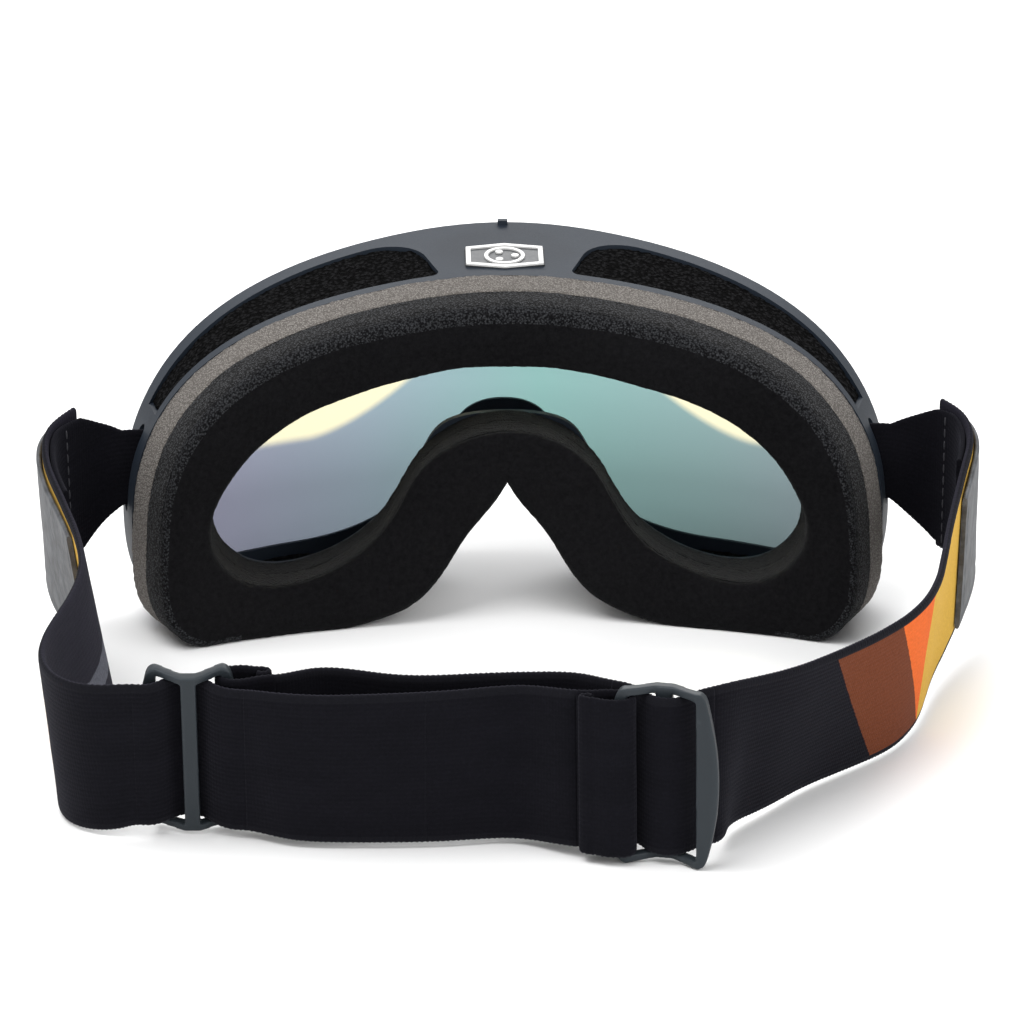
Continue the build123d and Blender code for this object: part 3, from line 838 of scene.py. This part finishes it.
def ribbon(
    name, route, span, width, thickness, offset, material, seed, ripple=0.08, edge_tick=0.13, relief=None
):
    """A length of webbing along a route between two knots, as one closed mesh."""
    knots = route.between(*span)
    place, up, out, along = route.sample(knots)
    profile = strap_profile(thickness)
    widths = np.full(len(place), width) if np.isscalar(width) else np.interp(knots, *width)
    share = profile[None, :, 0]
    edge = np.abs(share) ** 12
    across = share * widths[:, None] / 2
    across = across + np.sign(share) * edge * edge_tick * np.sin(2 * pi * along[:, None] / 1.15)
    lift = profile[None, :, 1] * (1 + 0.12 * edge) + offset
    length = np.broadcast_to(along[:, None], across.shape)
    grid = np.stack([length, across, np.full_like(across, 9.0 * seed)], axis=-1)
    lift = lift + ripple * speckle(grid, 11.0, seed) + 0.35 * ripple * speckle(grid, 3.0, seed + 1)
    if relief is not None:
        outside = profile[None, :, 1] > 0
        lift = lift + outside * relief(along[:, None] - along[0], across, along[-1] - along[0])
    points = place[:, None, :] + up[:, None, :] * across[..., None] + out[:, None, :] * lift[..., None]
    points[..., 2] = np.maximum(points[..., 2], 0.1)
    outer_face = np.broadcast_to(np.sign(profile[None, :, 1]), across.shape)
    route_data = np.stack([length, across, outer_face], axis=-1)
    return add_mesh(name, points, loft(len(place), len(profile)), material, route_data)


def stitches(name, starts, ends, material, radius=0.24):
    """A row of sewn stitches as small capsules from each start to each end."""
    rings, sides = 5, 6
    vertices, faces = [], []
    for start, end in zip(np.asarray(starts), np.asarray(ends)):
        ahead = (end - start) / np.linalg.norm(end - start)
        first = np.cross(ahead, (0.31, 0.52, 0.79))
        first = first / np.linalg.norm(first)
        second = np.cross(ahead, first)
        base = len(vertices)
        for i in range(rings):
            f = i / (rings - 1)
            r = radius * (0.45 + 0.55 * sin(pi * f))
            for j in range(sides):
                a = 2 * pi * j / sides
                vertices.append(start + (end - start) * f + r * (cos(a) * first + sin(a) * second))
        faces += [tuple(base + k for k in face) for face in loft(rings, sides)]
    return add_mesh(name, vertices, faces, material)


YELLOW = (0.56, 0.34, 0.050)
ORANGE = (0.66, 0.125, 0.020)
BROWN = (0.130, 0.036, 0.013)


def sewn_points(slider):
    """A strap end's route round a slider's bar, from the strap towards the hem: (along, towards the head)."""
    hold, inwards = slider["hold"], slider["inwards"]
    bar_u = (SLIDER_L - OUTER_BAR) / 2
    gap = 0.35 + STRAP_T / 2
    reach_u, reach_v = OUTER_BAR / 2 + gap, BAR_T / 2 + gap
    arc = [(bar_u - reach_u * sin(a), reach_v * cos(a)) for a in np.linspace(0, pi, 7)]
    # the strap meets the bar on one side and its end comes back on the other
    first = [(18.6, 0.9), (15.6, 1.3), (12.6, 2.2)]
    back = [(12.2, -2.6), (14.6, -2.1), (16.4, -1.9), (17.3, -1.1), (16.5, -0.4), (14.8, -0.6)]
    side = 1 if inwards < 0 else -1
    points = first + [(u, v) for u, v in arc] + back
    return [(hold * u, inwards * BAR_OFFSET + side * v) for u, v in points]


# where each patch starts and ends, counted in stations of its side strap
PATCH_SPAN = {"left": (0.1, 3.8), "right": (1.0, 3.9)}


def make_straps():
    thread = thread_material()
    stripes = {
        "left": [(78.0, 0.18, YELLOW), (92.0, 0.50, ORANGE), (115.0, 0.05, BROWN)],
        "right": [(87.6, 0.18, YELLOW), (96.6, 0.69, ORANGE), (120.5, 0.72, BROWN)],
    }
    leather = leather_material()
    plain = webbing_material("webbing_plain", [])
    setups = {
        "left": (LEFT_SIDE, LEFT_SLIDER, LEFT_WEAVE, LEFT_LAYER, RIGHT_SLIDER, "right"),
        "right": (RIGHT_SIDE, RIGHT_SLIDER, RIGHT_WEAVE, RIGHT_LAYER, LEFT_SLIDER, "left"),
    }
    for side, (side_rows, slider, weave, layer, far, other) in setups.items():
        own_body, far_body = side + "_slider", other + "_slider"
        hand = -SIDES[side]
        material = webbing_material("webbing_" + side, stripes[side])
        sewn = sewn_points(far)
        knots = stations(side_rows, hand) + beside(slider, weave) + stations(layer, hand) + beside(far, sewn)
        route = Route(knots, hand)
        woven = len(side_rows)
        lap = woven + len(weave)
        sewn_at = lap + len(layer)

        seed = 1 + (side == "right")
        strap = ribbon("strap_" + side, route, (0, woven), STRAP_W, STRAP_T, 0, material, seed)
        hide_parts("strap_side_" + side)
        away, enter = route.curve.at(np.array([woven - FOLLOW_FROM, woven - FOLLOW_FULLY]))[:, :3].tolist()
        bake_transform(strap)

        through = ribbon("woven_" + side, route, (woven, lap - 1), STRAP_W, STRAP_T, 0, material, seed)
        settle(through, own_body, "strap_webbing", "strap_weave_" + side)

        crossing = route.knot_at_x(lap - 1, sewn_at, MIDDLE_X)
        for half, span, joint_side in (
            ("near", (lap - 1, crossing), side),
            ("far", (crossing, sewn_at), other),
        ):
            obj = ribbon(f"layer_{side}_{half}", route, span, STRAP_W, STRAP_T, 0, material, seed)
            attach(obj, "goggles")
            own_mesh(obj)
            if half == "near":
                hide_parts("strap_layer_" + side)

        hem = ribbon("sewn_fold_" + side, route, (sewn_at, route.last), STRAP_W, STRAP_T, 0, plain, seed)
        settle(hem, far_body, "strap_webbing", "sewn_end_" + side)

        make_anchor(side, side_rows, hand, plain, thread)
        patch_route = Route(stations(side_rows[:6], hand), hand)
        border = ribbon(
            "patch_" + side, patch_route, PATCH_SPAN[side], PATCH_W, PATCH_T,
            (STRAP_T + PATCH_T) / 2 + PLY_GAP, leather,
            seed=5, ripple=0.1, edge_tick=0.0, relief=patch_relief,
        )
        settle(border, "goggles", "patch_leather", "strap_patch_" + side)


def patch_relief(along, across, length):
    """Two pressed lines round the patch, near its edge."""
    inset = np.minimum(np.minimum(along, length - along), PATCH_W / 2 - np.abs(across))
    return -0.22 * (np.exp(-(((inset - 2.2) / 0.45) ** 2)) + np.exp(-(((inset - 3.6) / 0.45) ** 2)))


def make_anchor(side, side_rows, hand, material, thread):
    """The sewn tab from the slot to the strap's inner side, and its two rows of stitches."""
    sign = SIDES[side]
    tuck = (STRAP_T + PANEL_T) / 2 + PLY_GAP
    strap = stations(side_rows, hand)
    tail = []
    for i, row in enumerate(strap[:5]):
        ahead = np.array(strap[i + 1][:3]) - np.array(strap[max(i - 1, 0)][:3])
        out = hand * np.cross(ahead, row[3:])
        tail.append([*(np.array(row[:3]) - tuck * out / np.linalg.norm(out)), *row[3:]])
    lead = [
        [sign * (STOP_X + 2.0), SLOT_Y, SLOT_Z, 0, 0, 1],
        [sign * 92.5, SLOT_Y + 0.1, SLOT_Z, 0, 0, 1],
        [sign * 98.0, SLOT_Y + 0.6, SLOT_Z - 1.6, 0, 0, 1],
    ]
    knots = lead + tail
    route = Route(knots, hand)
    width = ([0, 1, 2, 3, 4, 8], [PANEL_SLOT_W, PANEL_SLOT_W, 26.0, 33.0, STRAP_W - 1.6, STRAP_W - 1.6])
    panel = ribbon("tab_" + side, route, TAB_SPAN, width, PANEL_T, 0, material, seed=6, edge_tick=0.08)
    settle(panel, "goggles", "strap_webbing", "anchor_panel_" + side)
    rows = []
    for place, up, out in zip(*route.sample(np.array(TAB_SEAMS))[:3]):
        base = place - out * (PANEL_T / 2 + 0.1)
        rows += [(base + up * s, base + up * (s + STITCH_L)) for s in np.arange(-16.0, 14.5, STITCH_STEP)]
    seam = stitches("tab_stitches_" + side, [r[0] for r in rows], [r[1] for r in rows], thread)
    settle(seam, "goggles", "strap_webbing")


# ---- CAD nodes that are right as they are ----------------------------------------------------------------
def paint(node, material):
    """Gives a CAD node's surface a material."""
    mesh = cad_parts[node].data
    mesh.materials.clear()
    mesh.materials.append(material)


make_camera()
make_stage()
shell = plastic_material("shell_plastic", (0.008, 0.012, 0.019), (0.019, 0.026, 0.037), 0.56)
slider_plastic = plastic_material("slider_plastic", (0.016, 0.020, 0.024), (0.036, 0.044, 0.051), 0.40)
paint("frame", shell)
paint("lens", lens_material())
paint("badge_plate", print_material("badge_field", (0.036, 0.039, 0.044)))
white = print_material("badge_print", (0.80, 0.80, 0.79))
paint("badge_rim", white)
paint("badge_emblem", white)
for side in SIDES:
    paint("strap_stop_" + side, slider_plastic)
make_foam()
make_vents()
make_straps()
make_slider("left", LEFT_SLIDER, "left_slider", slider_plastic)
make_slider("right", RIGHT_SLIDER, "right_slider", slider_plastic)
